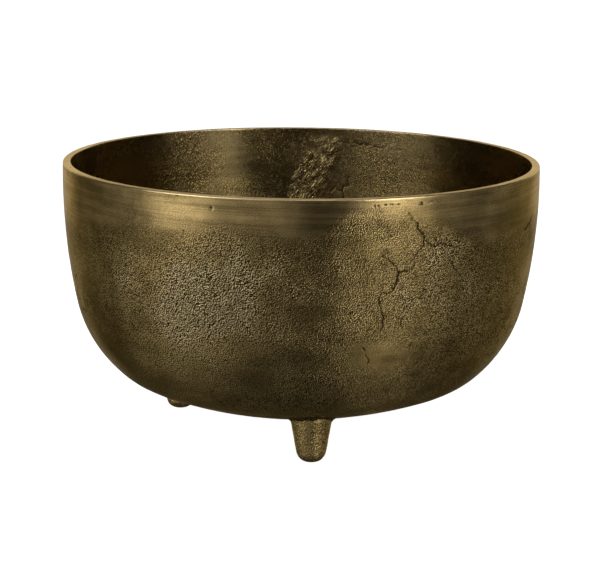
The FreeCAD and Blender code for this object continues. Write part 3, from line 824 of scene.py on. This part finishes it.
def cast_material(name, colours, scale):
    """Rough brass as it left the mould, with painted highlights on the side each grain slopes
    towards and painted shade on the other side.
    """
    dull, middle, bright = colours
    s = Shader(name)
    fine, fine_side = s.facing(scale * 3.0, 0.0, s.place, (CAST_SHIFT, 0.0, -CAST_SHIFT))
    relief = s.add(fine, s.pebbles(scale, 0.65), 0.5)
    s.feed(s.surface.inputs["Normal"], s.bump(relief, CAST_RELIEF))
    cloud = s.noise(CAST_CLOUD_SCALE, 3.0, 0.6)
    colour = s.mix(s.range(cloud, 0.35, 0.65), dull, middle)
    # Painted highlight and painted shade, from which way the fine grain slopes.
    colour = s.mix(s.times(s.range(fine_side, 0.03, 0.16), 0.9), colour, bright)
    colour = s.mix(s.times(s.range(fine_side, 0.0, -0.14), 0.75), colour, DEEP_PATINA_AND_SHADE)
    colour = s.mix(s.times(s.attribute("dark"), 0.85), colour, DEEP_PATINA_AND_SHADE)
    s.feed(s.surface.inputs["Base Color"], colour)
    s.feed(s.surface.inputs["Roughness"], s.range(cloud, 0.3, 0.7, 0.38, 0.28))
    return s.material


# ---------------------------------------------------------------- studio

CAMERA_AZIMUTH = -5.2
CAMERA_DISTANCE = 1350.0 * MM
CAMERA_HEIGHT = 378.7 * MM
CAMERA_PITCH = 12.083
CAMERA_ROLL = 0.607
CAMERA_LENS = 129.54
SENSOR_WIDTH = 36.0

FLOOR_HALF = 6.0
FLOOR_GLOW = 0.95
BACKGROUND = 1.2
LIGHT_FROM_ABOVE, LIGHT_FROM_BELOW = 0.035, 0.07
LAMP_TARGET = Vector((0.0, 0.0, 0.1))

# Softboxes: azimuth from the camera's direction and elevation in degrees, distance, width and
# height in metres, and radiance in W/(m2 sr). Those below the horizon light the outside, which
# leans over them. The others also reach the inside.
SOFTBOXES = {
    "left_low": (-57.0, -20.0, 1.7, 0.85, 1.3, 1.0),
    "left_high": (-57.0, 20.0, 1.7, 0.85, 1.3, 2.1),
    "right_low": (42.5, -20.0, 1.7, 0.76, 1.3, 1.2),
    "right_high": (45.0, 20.0, 1.7, 0.6, 1.3, 4.9),
    "fill_low": (-17.0, -20.0, 1.9, 1.1, 1.4, 0.38),
    "fill_high": (-24.0, 20.0, 1.9, 0.7, 1.4, 0.5),
    "back_low": (180.0, -14.0, 4.5, 8.0, 2.2, 0.47),
    "back_high": (180.0, 14.0, 4.5, 8.0, 2.2, 0.6),
    "overhead_left": (-50.0, 42.0, 1.7, 0.8, 0.8, 2.4),
    "top": (0.0, 80.0, 1.7, 0.8, 0.8, 1.6),
    "side_left": (-106.0, -18.0, 1.9, 1.1, 1.3, 0.21),
    "side_right": (112.0, -18.0, 1.9, 1.3, 1.3, 0.24),
    "edge_left": (-85.0, -10.0, 1.9, 0.4, 1.8, 0.25),
    "edge_right": (75.0, -10.0, 1.9, 0.5, 1.8, 0.26),
}


def add_camera():
    data = bpy.data.cameras.new("camera")
    data.sensor_width = SENSOR_WIDTH
    data.lens = CAMERA_LENS
    data.clip_start, data.clip_end = 0.01, 50.0
    camera = bpy.data.objects.new("camera", data)
    bpy.context.scene.collection.objects.link(camera)
    angle = math.radians(CAMERA_AZIMUTH)
    camera.location = (CAMERA_DISTANCE * math.sin(angle), -CAMERA_DISTANCE * math.cos(angle),
                       CAMERA_HEIGHT)
    aim = (Matrix.Rotation(angle, 3, "Z") @ Matrix.Rotation(math.radians(90 - CAMERA_PITCH), 3, "X")
           @ Matrix.Rotation(math.radians(CAMERA_ROLL), 3, "Z"))
    camera.rotation_euler = aim.to_euler()
    bpy.context.scene.camera = camera


def add_softbox(name, from_camera, elevation, distance, width, height, radiance):
    """A rectangular lamp that faces the bowl, placed by its azimuth from the camera's."""
    data = bpy.data.lights.new(name, "AREA")
    data.shape = "RECTANGLE"
    data.size, data.size_y = width, height
    data.energy = radiance * math.pi * width * height
    lamp = bpy.data.objects.new(name, data)
    bpy.context.scene.collection.objects.link(lamp)
    angle = math.radians(CAMERA_AZIMUTH + from_camera)
    rise = math.radians(elevation)
    back = Vector((math.sin(angle) * math.cos(rise), -math.cos(angle) * math.cos(rise),
                   math.sin(rise)))
    lamp.location = LAMP_TARGET + back * distance
    lamp.rotation_euler = back.to_track_quat("Z", "Y").to_euler()
    lamp.visible_camera = False


def add_world():
    """White behind the object for the camera, and for the rest a dim light, mostly from below."""
    world = bpy.data.worlds.new("studio")
    bpy.context.scene.world = world
    world.use_nodes = True
    tree = world.node_tree
    light = tree.nodes["Background"]
    light.inputs["Color"].default_value = (1, 1, 1, 1)
    way = tree.nodes.new("ShaderNodeTexCoord")
    split = tree.nodes.new("ShaderNodeSeparateXYZ")
    fade = tree.nodes.new("ShaderNodeMapRange")
    tree.links.new(way.outputs["Generated"], split.inputs[0])
    tree.links.new(split.outputs["Z"], fade.inputs[0])
    for number, value in enumerate((-0.6, 0.1, LIGHT_FROM_BELOW, LIGHT_FROM_ABOVE), start=1):
        fade.inputs[number].default_value = value
    tree.links.new(fade.outputs[0], light.inputs["Strength"])
    white = tree.nodes.new("ShaderNodeBackground")
    white.inputs["Color"].default_value = (1, 1, 1, 1)
    white.inputs["Strength"].default_value = BACKGROUND
    path = tree.nodes.new("ShaderNodeLightPath")
    mix = tree.nodes.new("ShaderNodeMixShader")
    tree.links.new(path.outputs["Is Camera Ray"], mix.inputs["Fac"])
    tree.links.new(light.outputs[0], mix.inputs[1])
    tree.links.new(white.outputs[0], mix.inputs[2])
    tree.links.new(mix.outputs[0], tree.nodes["World Output"].inputs["Surface"])


def add_floor():
    """A plain pale floor, which only the camera sees."""
    corners = FLOOR_HALF * np.array([(-1, -1, 0), (1, -1, 0), (1, 1, 0), (-1, 1, 0)], float)
    floor = mesh_object("floor", corners, [np.array([[0, 1, 2, 3]])])
    material = bpy.data.materials.new("pale_floor")
    material.use_nodes = True
    surface = material.node_tree.nodes["Principled BSDF"]
    surface.inputs["Base Color"].default_value = (0.8, 0.8, 0.8, 1)
    surface.inputs["Roughness"].default_value = 0.9
    surface.inputs["Emission Color"].default_value = (1, 1, 1, 1)
    surface.inputs["Emission Strength"].default_value = FLOOR_GLOW
    floor.data.materials.append(material)
    floor.visible_glossy = False
    floor.visible_diffuse = False
    floor.visible_shadow = False


def build():
    build_bowl().data.materials.append(bowl_material())
    foot_brass = cast_material("foot_brass_cast", FOOT_COLOURS, FOOT_SCALE)
    braze_brass = cast_material("braze_brass_run", BRAZE_COLOURS, BRAZE_SCALE)
    for place, azimuth in FOOT_SITES.items():
        build_foot(place, azimuth).data.materials.append(foot_brass)
        build_braze(place, azimuth).data.materials.append(braze_brass)
    add_floor()
    add_world()
    for name, numbers in SOFTBOXES.items():
        add_softbox(f"softbox_{name}", *numbers)
    add_camera()
    bpy.context.scene.view_settings.view_transform = "Standard"


build()
